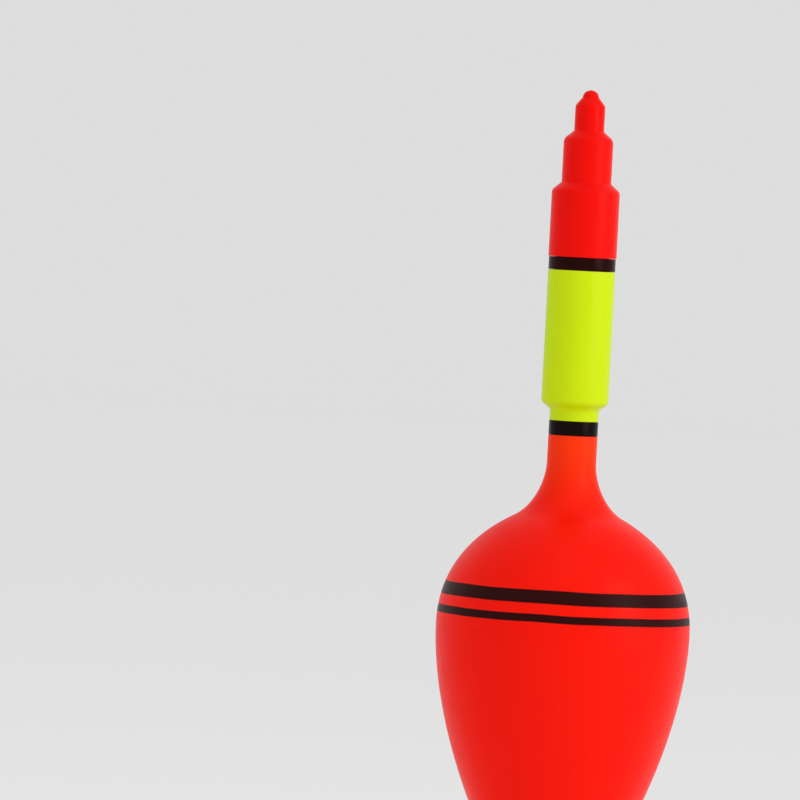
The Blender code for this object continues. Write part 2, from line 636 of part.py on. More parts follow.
looks = {
    "lacquer_red": material("lacquer_red", (0.95, 0.045, 0.012), 0.42),
    "lacquer_deep_red": material("lacquer_deep_red", (0.9, 0.03, 0.012), 0.42),
    "cap_red": material("cap_red", (0.92, 0.012, 0.008), 0.45),
    "yellow_plastic": material("yellow_plastic", (0.6, 0.8, 0.01), 0.4),
    "black_rubber": material("black_rubber", (0.012, 0.01, 0.01), 0.55),
    "glass_fibre": material("glass_fibre", (0.75, 0.72, 0.6), 0.5),
    "ballast_brass": material("ballast_brass", (0.72, 0.5, 0.2), 0.35, 1.0),
    "ferrule_brass": material("ferrule_brass", (0.78, 0.57, 0.25), 0.3, 1.0),
    "swivel_brass": material("swivel_brass", (0.35, 0.26, 0.15), 0.32, 1.0),
    "steel_wire": material("steel_wire", (0.62, 0.62, 0.63), 0.28, 1.0),
    "spring_wire": material("spring_wire", (0.56, 0.57, 0.58), 0.3, 1.0),
    "clasp_steel": material("clasp_steel", (0.6, 0.6, 0.6), 0.35, 1.0),
    "pin_steel": material("pin_steel", (0.5, 0.5, 0.5), 0.3, 1.0),
    "clear_plastic": material("clear_plastic", (0.8, 0.95, 0.75), 0.2, 0.0, 0.5),
    "ampoule_glass": material("ampoule_glass", (0.75, 0.95, 0.6), 0.05, 0.0, 0.5),
    "foam": material("foam", (0.9, 0.88, 0.8), 0.9),
    "silicone": material("silicone", (0.85, 0.85, 0.82), 0.5),
}

body = pivot("body", 0, None)
cap = pivot("cap_pull", capBottom, body)
swing = pivot("swivel_swing", footPivot, body)
barrel = pivot("barrel_spin", (barrelTop + barrelBottom) / 2, swing)
eye_spin = pivot("lower_eye_spin", lowerEyeCentre, barrel)
snap = pivot("snap_swing", snapPivot, eye_spin)
gate = pivot("snap_open", pinHeight, snap, -PIN_OFFSET)

ballast_seat = build_shells()
build_foam(ballast_seat)
build_core(ballast_seat)
build_foot()
build_tail()
build_cap()
build_light_stick()
build_swivel()
build_clasp()
build_snap_wire()
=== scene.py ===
import json
import math

import bpy
from mathutils import Matrix, Vector


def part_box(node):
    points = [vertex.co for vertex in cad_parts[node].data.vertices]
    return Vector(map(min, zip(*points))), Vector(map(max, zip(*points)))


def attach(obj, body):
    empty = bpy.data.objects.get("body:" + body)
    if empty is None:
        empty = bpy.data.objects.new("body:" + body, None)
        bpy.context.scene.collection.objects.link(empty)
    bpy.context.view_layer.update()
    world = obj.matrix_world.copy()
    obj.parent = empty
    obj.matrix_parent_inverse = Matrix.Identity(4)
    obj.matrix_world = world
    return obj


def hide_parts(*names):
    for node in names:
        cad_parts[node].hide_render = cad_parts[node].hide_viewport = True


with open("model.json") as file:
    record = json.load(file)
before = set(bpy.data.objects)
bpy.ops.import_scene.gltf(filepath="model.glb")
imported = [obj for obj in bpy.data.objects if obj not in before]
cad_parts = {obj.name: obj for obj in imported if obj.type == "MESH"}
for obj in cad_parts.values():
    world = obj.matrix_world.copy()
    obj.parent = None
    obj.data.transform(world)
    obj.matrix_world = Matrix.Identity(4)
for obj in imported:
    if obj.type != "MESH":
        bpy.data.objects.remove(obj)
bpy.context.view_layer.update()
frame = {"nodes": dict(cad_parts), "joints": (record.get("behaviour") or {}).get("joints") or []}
print("frame loaded:", len(frame["nodes"]), "nodes")

mm = 0.001
fullTurn = math.tau
weldDistance = 0.0000005          # m; doubles nearer than this are merged
axisRadius = 0.000001             # m; a point nearer the axis closes the piece
creaseAngle = 35                  # degrees; sharper edges stay crisp
driftSize = 6                     # mm; patches of slow change in colour and gloss


# places taken from the frame, in mm

boxes = {node: [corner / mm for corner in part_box(node)] for node in frame["nodes"]}
pivots = {joint["name"]: Vector(joint["pos_m"]) / mm for joint in frame["joints"] if "pos_m" in joint}


def topOf(node):
    return boxes[node][1].z


def bottomOf(node):
    return boxes[node][0].z


def radiusOf(node):
    return boxes[node][1].x


def standFor(piece, node, body):
    # the piece takes the place of a CAD node, on its body and in its finish
    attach(piece, body)
    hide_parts(node)
    return piece


# drawing helpers

def hexToLinear(code):
    # sRGB hex to the linear values a shader takes
    channels = [int(code[start:start + 2], 16) / 255 for start in (1, 3, 5)]
    return [c / 12.92 if c <= 0.04045 else ((c + 0.055) / 1.055) ** 2.4 for c in channels] + [1.0]


def roundedOutline(corners, segments=6):
    # (across, up, fillet) corners in mm become points, each fillet an arc
    points = []
    last = len(corners) - 1
    for index, (across, up, fillet) in enumerate(corners):
        corner = Vector((across, up))
        if not fillet or index in (0, last):
            points.append(corner)
            continue
        before = Vector(corners[index - 1][:2]) - corner
        after = Vector(corners[index + 1][:2]) - corner
        half = before.angle(after) / 2
        reach = min(fillet / math.tan(half), 0.49 * before.length, 0.49 * after.length)
        middleArm = (before.normalized() + after.normalized()).normalized()
        middle = corner + middleArm * reach / math.cos(half)
        start = corner + before.normalized() * reach - middle
        sweep = start.angle_signed(corner + after.normalized() * reach - middle)
        for step in range(segments + 1):
            points.append(middle + Matrix.Rotation(-sweep * step / segments, 2) @ start)
    return points


def cubicCurve(start, startHandle, endHandle, end, count):
    points = []
    for step in range(count):
        t = step / (count - 1)
        s = 1 - t
        points.append(start * s ** 3 + startHandle * 3 * s * s * t + endHandle * 3 * s * t * t + end * t ** 3)
    return points


def movedInwards(points, wall):
    # the same outline a wall's thickness nearer the axis
    moved = []
    for index, point in enumerate(points):
        along = points[min(index + 1, len(points) - 1)] - points[max(index - 1, 0)]
        along.normalize()
        moved.append(point + Vector((along.y, -along.x)) * wall)
    return moved


def selectVerts(piece, chosen):
    # back and forth through object mode, where a selection is set in code
    bpy.ops.mesh.select_all(action="DESELECT")
    bpy.ops.object.mode_set(mode="OBJECT")
    for index in chosen:
        piece.data.vertices[index].select = True
    bpy.ops.object.mode_set(mode="EDIT")
    bpy.ops.mesh.select_mode(type="VERT")


def settle(piece, name, material, smoothAngle=creaseAngle):
    # name, material, outward faces, smooth shading, place held in the mesh
    bpy.ops.object.mode_set(mode="EDIT")
    bpy.ops.mesh.select_all(action="SELECT")
    bpy.ops.mesh.remove_doubles(threshold=weldDistance)
    bpy.ops.mesh.normals_make_consistent(inside=False)
    bpy.ops.object.mode_set(mode="OBJECT")
    bpy.ops.object.transform_apply(location=True, rotation=True, scale=True)
    bpy.ops.object.shade_smooth_by_angle(angle=math.radians(smoothAngle))
    piece.name = name
    piece.data.name = name
    piece.data.materials.clear()
    piece.data.materials.append(material)
    return piece


def closeEnd(height, fromHeight):
    # the open ring runs in to one point on the axis
    bpy.ops.mesh.extrude_region_move(TRANSFORM_OT_translate={"value": (0, 0, height - fromHeight)})
    bpy.ops.mesh.merge(type="CENTER")


def turnPiece(name, outline, material, segments=128, smoothAngle=creaseAngle):
    # a circle drawn out from ring to ring, as a lathe would leave it; outlines are in mm
    rings = [Vector(point[:2]) * mm for point in outline]
    solid = rings[0].x < axisRadius
    path = rings[1:-1] if solid else rings
    bpy.ops.object.select_all(action="DESELECT")
    bpy.ops.mesh.primitive_circle_add(vertices=segments, radius=path[0].x, location=(0, 0, path[0].y))
    piece = bpy.context.active_object
    bpy.ops.object.transform_apply(location=True, rotation=False, scale=False)
    bpy.ops.object.mode_set(mode="EDIT")
    bpy.ops.mesh.select_all(action="SELECT")
    for ring, nextRing in zip(path, path[1:]):
        bpy.ops.mesh.extrude_region_move(TRANSFORM_OT_translate={"value": (0, 0, nextRing.y - ring.y)})
        spread = nextRing.x / ring.x
        bpy.ops.transform.resize(value=(spread, spread, 1), center_override=(0, 0, nextRing.y))
    if solid:
        closeEnd(rings[-1].y, path[-1].y)
        selectVerts(piece, range(segments))
        closeEnd(rings[0].y, path[0].y)
    else:
        total = segments * len(path)
        selectVerts(piece, list(range(segments)) + list(range(total - segments, total)))
        bpy.ops.mesh.bridge_edge_loops()
    return settle(piece, name, material, smoothAngle)


def bendWire(name, radius, start, heading, moves, material, sides=24):
    # a round wire end pushed along straight runs and round bends; lengths in mm
    turn = Vector((0, 0, 1)).rotation_difference(Vector(heading)).to_euler()
    bpy.ops.object.select_all(action="DESELECT")
    bpy.ops.mesh.primitive_circle_add(vertices=sides, radius=radius * mm, location=Vector(start) * mm,
                                      rotation=turn)
    piece = bpy.context.active_object
    bpy.ops.object.transform_apply(location=True, rotation=True, scale=False)
    bpy.ops.object.mode_set(mode="EDIT")
    bpy.ops.mesh.select_all(action="SELECT")
    place, along = Vector(start), Vector(heading).normalized()
    for move in moves:
        if move[0] == "run":
            step = along * move[1]
            bpy.ops.mesh.extrude_region_move(TRANSFORM_OT_translate={"value": step * mm})
            place = place + step
        else:
            bendRadius, angle, axis = move[1:]
            axis = Vector(axis).normalized()
            side = axis.cross(along).normalized()
            centre = place + side * bendRadius
            bpy.ops.mesh.spin(steps=max(4, round(angle / 7)), angle=-math.radians(angle),
                              center=centre * mm, axis=axis)
            turnMatrix = Matrix.Rotation(math.radians(angle), 3, axis)
            place = centre + turnMatrix @ (place - centre)
            along = turnMatrix @ along
    bpy.ops.mesh.edge_face_add()
    selectVerts(piece, range(sides))
    bpy.ops.mesh.edge_face_add()
    return settle(piece, name, material)


def unite(piece, other, operation="UNION"):
    # solid joined to or cut from a piece, then removed
    bpy.ops.object.select_all(action="DESELECT")
    piece.select_set(True)
    bpy.context.view_layer.objects.active = piece
    cut = piece.modifiers.new("join", "BOOLEAN")
    cut.operation = operation
    cut.solver = "EXACT"
    cut.object = other
    bpy.ops.object.modifier_apply(modifier="join")
    bpy.data.objects.remove(other)
    return piece


def softenEdges(piece, width, segments=3, sharperThan=40):
    # small rounds on the edges that turn more than the angle
    bevel = piece.modifiers.new("soften", "BEVEL")
    bevel.width = width * mm
    bevel.segments = segments
    bevel.limit_method = "ANGLE"
    bevel.angle_limit = math.radians(sharperThan)
    bevel.use_clamp_overlap = True
    piece.modifiers.new("level", "WEIGHTED_NORMAL").keep_sharp = True   # flat faces stay flat in the light
    bpy.context.view_layer.objects.active = piece
    bpy.ops.object.modifier_apply(modifier="soften")
    bpy.ops.object.modifier_apply(modifier="level")


# materials

def newMaterial(name, **shader):
    # Principled material; shader values are socket names with spaces left out
    material = bpy.data.materials.new(name)
    material.use_nodes = True
    principled = material.node_tree.nodes["Principled BSDF"]
    for socket in principled.inputs:
        key = socket.name.replace(" ", "")
        if key in shader:
            socket.default_value = shader[key]
    return material, material.node_tree, principled


def addNode(tree, kind, inputs=None, **settings):
    # node with its settings; an input may be a value or another node's output
    node = tree.nodes.new(kind)
    for key, value in settings.items():
        setattr(node, key, value)
    for socket, value in (inputs or {}).items():
        if isinstance(value, bpy.types.NodeSocket):
            tree.links.new(value, node.inputs[socket])
        else:
            node.inputs[socket].default_value = value
    return node


def addGrain(tree, principled, roughness, sizes, depths, stretch=(1, 1, 1)):
    # noise of each size in mm: bump of each depth in mm, and roughness drift from the first
    place = addNode(tree, "ShaderNodeTexCoord").outputs["Object"]
    spread = addNode(tree, "ShaderNodeMapping", {"Vector": place, "Scale": stretch}).outputs["Vector"]
    surface = None
    for size, depth in zip(sizes, depths):
        noise = addNode(tree, "ShaderNodeTexNoise",
                        {"Vector": spread, "Scale": 1 / (size * mm), "Detail": 3.0})
        bump = addNode(tree, "ShaderNodeBump", {"Height": noise.outputs["Fac"], "Distance": depth * mm,
                                                "Strength": 1.0})
        if surface:
            tree.links.new(surface, bump.inputs["Normal"])
        surface = bump.outputs["Normal"]
    tree.links.new(surface, principled.inputs["Normal"])
    broad = addNode(tree, "ShaderNodeTexNoise",
                    {"Vector": place, "Scale": 1 / (driftSize * mm), "Detail": 4.0})
    drift = addNode(tree, "ShaderNodeMapRange",
                    {"Value": broad.outputs["Fac"], "From Min": 0.3, "From Max": 0.7,
                     "To Min": roughness[0], "To Max": roughness[1]})
    tree.links.new(drift.outputs["Result"], principled.inputs["Roughness"])
    return place, broad.outputs["Fac"]


def colourDrift(tree, principled, factor, low, high):
    # slow change between two close shades over the surface
    mix = addNode(tree, "ShaderNodeMix", {"Factor": factor, 6: hexToLinear(low), 7: hexToLinear(high)},
                  data_type="RGBA")
    tree.links.new(mix.outputs[2], principled.inputs["Base Color"])


lacquer = {
    "neckColour": "#fc3608",      # fluorescent orange over the neck: partly the lacquer's own tint, partly a painted highlight
    "bodyColour": "#fb1603",      # fluorescent red
    "shadeColour": "#f71303",
    "bandColour": "#2c0604",      # black ink, the red showing through slightly
    "bandLevels": ((6.8, 4.72), (3.05, 1.8)),   # top and bottom of the painted bands, mm
    "bandWander": 0.12,           # how far the hand-held brush wanders, mm
    "wanderLength": 13,           # mm
    "bandSoftness": 0.06,         # half the width of the brush's soft edge, mm
    "bandFilm": 0.03,             # the ink stands this proud of the lacquer, mm
    "neckFade": (29.5, 17.0),     # heights between which the neck's orange, with its painted highlight, fades out, mm
    "grain": (1.4, 0.35),         # dimples of the spray, drawn coarser than real so that they show, mm
    "grainDepth": (0.045, 0.006),
    "roughness": (0.32, 0.42),
}


def bandMask(tree, height, level):
    # 1 between the two heights, with a brush-soft edge
    top, bottom = level
    soft = lacquer["bandSoftness"] * mm
    below = addNode(tree, "ShaderNodeMapRange", {"Value": height, "From Min": top * mm + soft,
                                                 "From Max": top * mm - soft})
    above = addNode(tree, "ShaderNodeMapRange", {"Value": height, "From Min": bottom * mm - soft,
                                                 "From Max": bottom * mm + soft})
    both = addNode(tree, "ShaderNodeMath", {0: below.outputs["Result"], 1: above.outputs["Result"]},
                   operation="MULTIPLY")
    return both.outputs["Value"]


def fluorescentLacquer():
    # sprayed polyurethane lacquer, flatted to a satin: an even, slightly dimpled skin with painted bands, and
    # a painted highlight in the neck's orange
    material, tree, principled = newMaterial("satinSprayedLacquer", IOR=1.47, SpecularIORLevel=0.07)
    place, broad = addGrain(tree, principled, lacquer["roughness"], lacquer["grain"],
                            lacquer["grainDepth"])
    apart = addNode(tree, "ShaderNodeSeparateXYZ", {"Vector": place})
    wander = addNode(tree, "ShaderNodeTexNoise",
                     {"Vector": place, "Scale": 1 / (lacquer["wanderLength"] * mm), "Detail": 1.5})
    shift = addNode(tree, "ShaderNodeMapRange",
                    {"Value": wander.outputs["Fac"], "From Min": 0.25, "From Max": 0.75,
                     "To Min": -lacquer["bandWander"] * mm, "To Max": lacquer["bandWander"] * mm})
    height = addNode(tree, "ShaderNodeMath", {0: apart.outputs["Z"], 1: shift.outputs["Result"]},
                     operation="ADD")
    body = addNode(tree, "ShaderNodeMix", {"Factor": broad, 6: hexToLinear(lacquer["bodyColour"]),
                                           7: hexToLinear(lacquer["shadeColour"])}, data_type="RGBA")
    # the neck's orange, partly a painted highlight, fades out down the shoulder
    high, low = lacquer["neckFade"]
    fade = addNode(tree, "ShaderNodeMapRange", {"Value": apart.outputs["Z"], "From Min": low * mm,
                                                "From Max": high * mm}, interpolation_type="SMOOTHSTEP")
    coatWithNeckHighlight = addNode(tree, "ShaderNodeMix", {"Factor": fade.outputs["Result"], 6: body.outputs[2],
                                           7: hexToLinear(lacquer["neckColour"])}, data_type="RGBA")
    masks = [bandMask(tree, height.outputs["Value"], level) for level in lacquer["bandLevels"]]
    ink = addNode(tree, "ShaderNodeMath", {0: masks[0], 1: masks[1]}, operation="MAXIMUM")
    painted = addNode(tree, "ShaderNodeMix", {"Factor": ink.outputs["Value"], 6: coatWithNeckHighlight.outputs[2],
                                              7: hexToLinear(lacquer["bandColour"])}, data_type="RGBA")
    tree.links.new(painted.outputs[2], principled.inputs["Base Color"])
    film = addNode(tree, "ShaderNodeBump",
                   {"Height": ink.outputs["Value"], "Distance": lacquer["bandFilm"] * mm, "Strength": 1.0})
    tree.links.new(principled.inputs["Normal"].links[0].from_socket, film.inputs["Normal"])
    tree.links.new(film.outputs["Normal"], principled.inputs["Normal"])
    return material


def mouldedPlastic(name, low, high, roughness, grain=(2.2, 0.3), depth=(0.010, 0.0015), **shader):
    # plastic or rubber in one colour right through: slight flow drift and a fine texture
    material, tree, principled = newMaterial(name, **shader)
    broad = addGrain(tree, principled, roughness, grain, depth)[1]
    colourDrift(tree, principled, broad, low, high)
    return material


def metal(name, low, high, roughness, grain, depth, stretch=(1, 1, 1)):
    # metal with worked lines: the stretch lays them along or around the piece
    material, tree, principled = newMaterial(name, Metallic=1.0)
    broad = addGrain(tree, principled, roughness, grain, depth, stretch)[1]
    colourDrift(tree, principled, broad, low, high)
    return material


def clearPlastic(name, colour, roughness, transmission, ior):
    # clear moulded tube: see-through with faint draw lines
    material, tree, principled = newMaterial(name, IOR=ior, TransmissionWeight=transmission)
    principled.inputs["Base Color"].default_value = hexToLinear(colour)
    addGrain(tree, principled, roughness, (0.8,), (0.002,), (1, 1, 0.15))
    return material


finishes = {
    "lacquer": fluorescentLacquer(),
    # satin moulded ABS, fluorescent red right through: even, bright and soft in its highlights
    "capRed": mouldedPlastic("satinMouldedAbsRed", "#ee0801", "#f40b02", (0.3, 0.4), IOR=1.5,
                             SpecularIORLevel=0.07),
    # satin moulded ABS, fluorescent lemon green: very bright, with a dull soft highlight
    "tailYellow": mouldedPlastic("satinMouldedAbsYellow", "#c7e205", "#cce607", (0.3, 0.4), IOR=1.5,
                                 SpecularIORLevel=0.1),
    # moulded nitrile rubber: near black with a soft broad sheen
    "bandBlack": mouldedPlastic("mouldedNitrileBlack", "#0b0303", "#120505", (0.18, 0.26), grain=(0.7, 0.15),
                                depth=(0.004, 0.001), IOR=1.52, SpecularIORLevel=0.06),
    # the upper ring's rubber leans to a very dark oxide brown
    "bandBrown": mouldedPlastic("mouldedNitrileOxide", "#1e0402", "#260503", (0.18, 0.26), grain=(0.7, 0.15),
                                depth=(0.004, 0.001), IOR=1.52, SpecularIORLevel=0.05),
    # greased nitrile: the grease gives the seal a wet, narrow glint
    "sealBlack": mouldedPlastic("greasedNitrileBlack", "#0d0d0e", "#151516", (0.22, 0.35), IOR=1.5),
    # moulded silicone: milky, with light going a little way in
    "silicone": mouldedPlastic("mouldedSiliconeMilky", "#cfd0c6", "#dcdcd2", (0.35, 0.5), IOR=1.42,
                               SubsurfaceWeight=0.2, SubsurfaceScale=0.001),
    # poured closed-cell foam: dull and pitted, with no highlight
    "foam": mouldedPlastic("closedCellFoamCream", "#e6dfc8", "#f0ead6", (0.85, 0.95), grain=(0.9, 0.4),
                           depth=(0.12, 0.05), IOR=1.45),
    # pultruded glass fibre: straw-coloured, with a dry, slightly rough skin
    "glassFibre": mouldedPlastic("pultrudedGlassFibre", "#c9bf98", "#d9d0ac", (0.4, 0.55), grain=(0.6, 0.2),
                                 depth=(0.01, 0.004), IOR=1.54),
    # turned brass: tool lines round the axis, cut deeper than real ones so that they show
    "turnedBrass": metal("turnedBrass", "#bd9347", "#cfa85a", (0.22, 0.34), (0.34, 0.13), (0.05, 0.02),
                         (0.06, 0.06, 1)),
    # cast brass, as it leaves the mould: dull yellow and uneven
    "castBrass": metal("castBrass", "#a98545", "#b99350", (0.4, 0.55), (0.8, 0.2), (0.02, 0.006)),
    # nickel-blacked brass barrel: dark, with a smooth glint
    "blackNickel": metal("blackNickelPlate", "#383532", "#45413d", (0.18, 0.3), (0.4, 0.12), (0.006, 0.002),
                         (0.1, 0.1, 1)),
    # drawn stainless wire, bright
    "drawnSteel": metal("drawnStainlessWire", "#b9bbbd", "#c9cacb", (0.2, 0.32), (0.25, 0.1), (0.002, 0.001)),
    # drawn spring wire: a shade darker and duller than the eyes' wire
    "springSteel": metal("drawnSpringWire", "#a9acae", "#b9bbbd", (0.22, 0.34), (0.25, 0.1), (0.002, 0.001)),
    # pressed stainless sheet: rolled lines along the strip
    "pressedSteel": metal("pressedStainlessSheet", "#aeb0b1", "#c2c3c4", (0.26, 0.42), (0.3, 0.1),
                          (0.008, 0.003), (1, 1, 0.08)),
    # extruded polyethylene: clear, with faint draw lines that blur what is inside
    "stickShell": clearPlastic("extrudedPolyethyleneClear", "#eefbe0", (0.18, 0.28), 0.85, 1.5),
    # welded polyethylene: cloudier than the tube
    "stickPlug": clearPlastic("weldedPolyethylenePlug", "#e4f4cf", (0.3, 0.42), 0.6, 1.5),
    # drawn soda glass with a lime-green tint from its liquid: hard, clear glints
    "ampoule": clearPlastic("drawnSodaGlass", "#d8f59a", (0.03, 0.08), 0.9, 1.5),
}
print("materials made:", len(finishes))


# body

bodyShape = {
    "shoulderTurn": (0.293, 0.668),
    "shoulderSlope": 1.9,
    "shoulderHandles": (3.0, 3.5, 6.0, 9.5),
    "neckLength": 4.2,
    "footRadius": 3.6,
    "footSlope": 0.8,
    "footHandles": (16.0, 12.0),
    "wall": 1.4,
    "bore": 2.85,
    "lapHeight": 2.0,
    "seamHalfGap": 0.004,         # the shells are welded and painted over at the widest circle
    "edgeRound": 0.01,
    "lapGap": 0.12,
    "lapClear": 0.8,              # the inner wall starts this far beyond the lap
    "lapStep": 0.7,               # the lower shell's wall steps out for the lap this far down
    "boreClear": 0.4,
    "ballastGap": 0.06,           # under the ballast
    "ballastPlay": 0.12,          # round the ballast
    "curvePoints": (22, 26, 44),  # along the flare, the dome and the taper
    "segments": 160,
}


def makeBody():
    belly = radiusOf("lower_shell")
    neckRadius = radiusOf("neck_ring")
    neckTop = topOf("upper_shell")
    shoulderHeight = neckTop - bodyShape["neckLength"]
    turn = Vector((neckRadius + (belly - neckRadius) * bodyShape["shoulderTurn"][0],
                   shoulderHeight * bodyShape["shoulderTurn"][1]))
    along = Vector((bodyShape["shoulderSlope"], -1)).normalized()
    atNeck, beforeTurn, afterTurn, atBelly = bodyShape["shoulderHandles"]
    flarePoints, domePoints, taperPoints = bodyShape["curvePoints"]
    lapGap, lapClear, segments = bodyShape["lapGap"], bodyShape["lapClear"], bodyShape["segments"]
    neck, widest = Vector((neckRadius, shoulderHeight)), Vector((belly, 0))
    flare = cubicCurve(neck, neck - Vector((0, atNeck)), turn - along * beforeTurn, turn,
                       flarePoints)
    dome = cubicCurve(turn, turn + along * afterTurn, widest + Vector((0, atBelly)), widest,
                      domePoints)
    outer = flare + dome[1:]
    gap, edge, wall = bodyShape["seamHalfGap"], bodyShape["edgeRound"], bodyShape["wall"]
    lap = bodyShape["lapHeight"]
    inner = [p for p in movedInwards(outer, wall) if p.x > bodyShape["bore"] + bodyShape["boreClear"]
             and p.y > lap + lapClear]
    mouth = roundedOutline([(outer[-2].x, outer[-2].y, 0), (belly, gap, edge), (belly - wall / 2, gap, 0)], 4)
    collar = roundedOutline([(bodyShape["bore"], neckTop, 0), (neckRadius, neckTop, 0.1),
                             (neckRadius, shoulderHeight, 0)], 4)
    upper = collar[1:-1] + outer[:-1] + mouth[1:]
    upper += [Vector((belly - wall / 2, lap + lapGap)), Vector((belly - wall - lapGap, lap + lapGap))]
    upper += inner[::-1] + [Vector((bodyShape["bore"], inner[0].y)), Vector((bodyShape["bore"], neckTop))]
    upperShell = turnPiece("upperShell", upper, finishes["lacquer"], segments)
    standFor(upperShell, "upper_shell", "float_body")

    footZ = bottomOf("lower_shell")
    foot = Vector((bodyShape["footRadius"], footZ))
    along = Vector((-bodyShape["footSlope"], -1)).normalized()
    atWidest, atFoot = bodyShape["footHandles"]
    outer = cubicCurve(widest, widest - Vector((0, atWidest)), foot - along * atFoot, foot,
                       taperPoints)
    base = bottomOf("ballast") - bodyShape["ballastGap"]
    ballast = radiusOf("ballast") + bodyShape["ballastPlay"]
    inner = [p for p in movedInwards(outer, wall) if base < p.y < -lapClear and p.x > ballast]
    lip = belly - wall / 2 - lapGap
    lower = [Vector((lip, lap)), Vector((lip, -gap))]
    lower += roundedOutline([(lip, -gap, 0), (belly, -gap, edge), (outer[1].x, outer[1].y, 0)], 4)[1:-1]
    lower += outer[1:-1]
    lower += roundedOutline([(outer[-2].x, outer[-2].y, 0), (foot.x, foot.y, 0.15),
                             (bodyShape["bore"], footZ, 0)], 4)[1:]
    lower += [Vector((bodyShape["bore"], base)), Vector((ballast, base))] + inner[::-1]
    lower += [Vector((belly - wall, -bodyShape["lapStep"])), Vector((belly - wall, lap))]
    lowerShell = turnPiece("lowerShell", lower, finishes["lacquer"], segments)
    standFor(lowerShell, "lower_shell", "float_body")


makeBody()
print("body made")


# stem, ballast and foot ferrule

core = {
    "stemWall": 0.8,
    "ballastChamfer": 0.6,
    "flangeRadius": 3.4,
    "flangeHeight": 1.2,
    "tipRadius": 2.0,
    "coneHeight": 3.3,
    "spigotRadius": 1.78,
    "shankHole": 0.57,
    "shankLength": 4.5,
    "seatGap": 0.06,
    "holeEnd": 0.12,              # room past the shank's end
}


def makeCore():
    bore = bodyShape["bore"]
    top, bottom, radius = topOf("stem"), bottomOf("stem"), radiusOf("stem")
    inner = radius - core["stemWall"]
    tube = roundedOutline([(inner, bottom, 0), (inner, top, 0.08), (radius, top, 0.08),
                           (radius, bottom, 0)], 3)
    standFor(turnPiece("glassStem", tube, finishes["glassFibre"], 64), "stem", "float_body")

    top, bottom, radius = topOf("ballast"), bottomOf("ballast"), radiusOf("ballast")
    chamfer = core["ballastChamfer"]
    weight = roundedOutline([(bore, top, 0), (radius - chamfer, top, 0.2), (radius, top - chamfer, 0.2),
                             (radius, bottom + chamfer, 0.2), (radius - chamfer, bottom, 0.2),
                             (bore, bottom, 0)], 4)
    standFor(turnPiece("brassBallast", weight, finishes["castBrass"], 96), "ballast", "float_body")

    foot = bottomOf("lower_shell")
    top = topOf("foot_ferrule")
    seat = foot - core["seatGap"]
    under = foot - core["flangeHeight"]
    tip = under - core["coneHeight"]
    flange, spigot, hole = core["flangeRadius"], core["spigotRadius"], core["shankHole"]
    holeTop = tip + core["shankLength"] + core["holeEnd"]
    ferrule = roundedOutline([(0, top, 0), (spigot, top, 0.2), (spigot, seat, 0), (flange, seat, 0.15),
                              (flange, under, 0.25), (core["tipRadius"], tip, 0.3), (hole, tip, 0.1),
                              (hole, holeTop, 0), (0, holeTop, 0)], 5)
    standFor(turnPiece("footFerrule", ferrule, finishes["turnedBrass"], 96), "foot_ferrule", "float_body")


makeCore()
print("stem, ballast and ferrule made")


# tail

tail = {
    "ringRound": 0.04,
    "endLength": 1.8,
    "endRadius": 3.84,
    "chamferHeight": 1.0,
    "chamferRound": 1.0,
    "rimRound": 0.05,
    "bore": 4.45,
    "socketDepth": 3.0,
    "septum": 1.2,
    "seatRadius": 3.0,
}


def makeTail():
    stemBore = bodyShape["bore"]
    top, bottom, radius = topOf("neck_ring"), bottomOf("neck_ring"), radiusOf("neck_ring")
    edge = tail["ringRound"]
    ring = roundedOutline([(stemBore, top, 0), (radius, top, edge), (radius, bottom, edge),
                           (stemBore, bottom, 0)], 5)
    standFor(turnPiece("neckRing", ring, finishes["bandBlack"]), "neck_ring", "float_body")

    top, bottom, radius = topOf("tail_tube"), bottomOf("tail_tube"), radiusOf("tail_tube")
    rim, bore = tail["rimRound"], tail["bore"]
    endTop = bottom + tail["endLength"]
    wide = endTop + tail["chamferHeight"]
    socketTop = bottom + tail["socketDepth"]
    floor = socketTop + tail["septum"]
    funnel = floor + bore - tail["seatRadius"]
    tube = roundedOutline([(0, floor, 0), (tail["seatRadius"], floor, 0), (bore, funnel, 0), (bore, top, rim),
                           (radius, top, rim), (radius, wide, tail["chamferRound"]),
                           (tail["endRadius"], endTop, tail["chamferRound"]),
                           (tail["endRadius"], bottom, rim),
                           (stemBore, bottom, 0), (stemBore, socketTop, 0), (0, socketTop, 0)], 6)
    standFor(turnPiece("tailTube", tube, finishes["tailYellow"]), "tail_tube", "float_body")

    top, bottom, radius = topOf("top_ring"), bottomOf("top_ring"), radiusOf("top_ring")
    gasket = roundedOutline([(bore, top, 0), (radius, top, edge), (radius, bottom, edge),
                             (bore, bottom, 0)], 5)
    standFor(turnPiece("topRing", gasket, finishes["bandBrown"]), "top_ring", "float_body")


makeTail()
print("tail made")


# tip cap with its seal

tipShape = {
    "baseLength": 11.7,
    "baseShoulder": 1.25,
    "middleRadius": 3.91,
    "middleLength": 8.15,
    "middleShoulder": 1.3,
    "endRadius": 2.35,
    "endShoulder": 1.3,
    "edgeRounds": (0.9, 1.25, 0.9),   # moulded outer edges of the base, middle and end
    "rootRound": 0.35,            # where each step meets the next shoulder
    "nubRadius": 1.28,            # domed like half an egg
    "nubHeight": 1.15,
    "nubSteps": 14,
    "rim": 0.05,
    "spigotRadius": 4.3,
    "spigotLength": 6.0,
    "bore": 3.0,
    "endWall": 1.9,
    "sealDepth": 3.2,
    "sealSection": 0.33,
    "sealCentre": 4.0,
    "sealSteps": 20,
    "grooveRadius": 3.55,
    "grooveHalf": 0.45,
    "seatGap": 0.06,
}


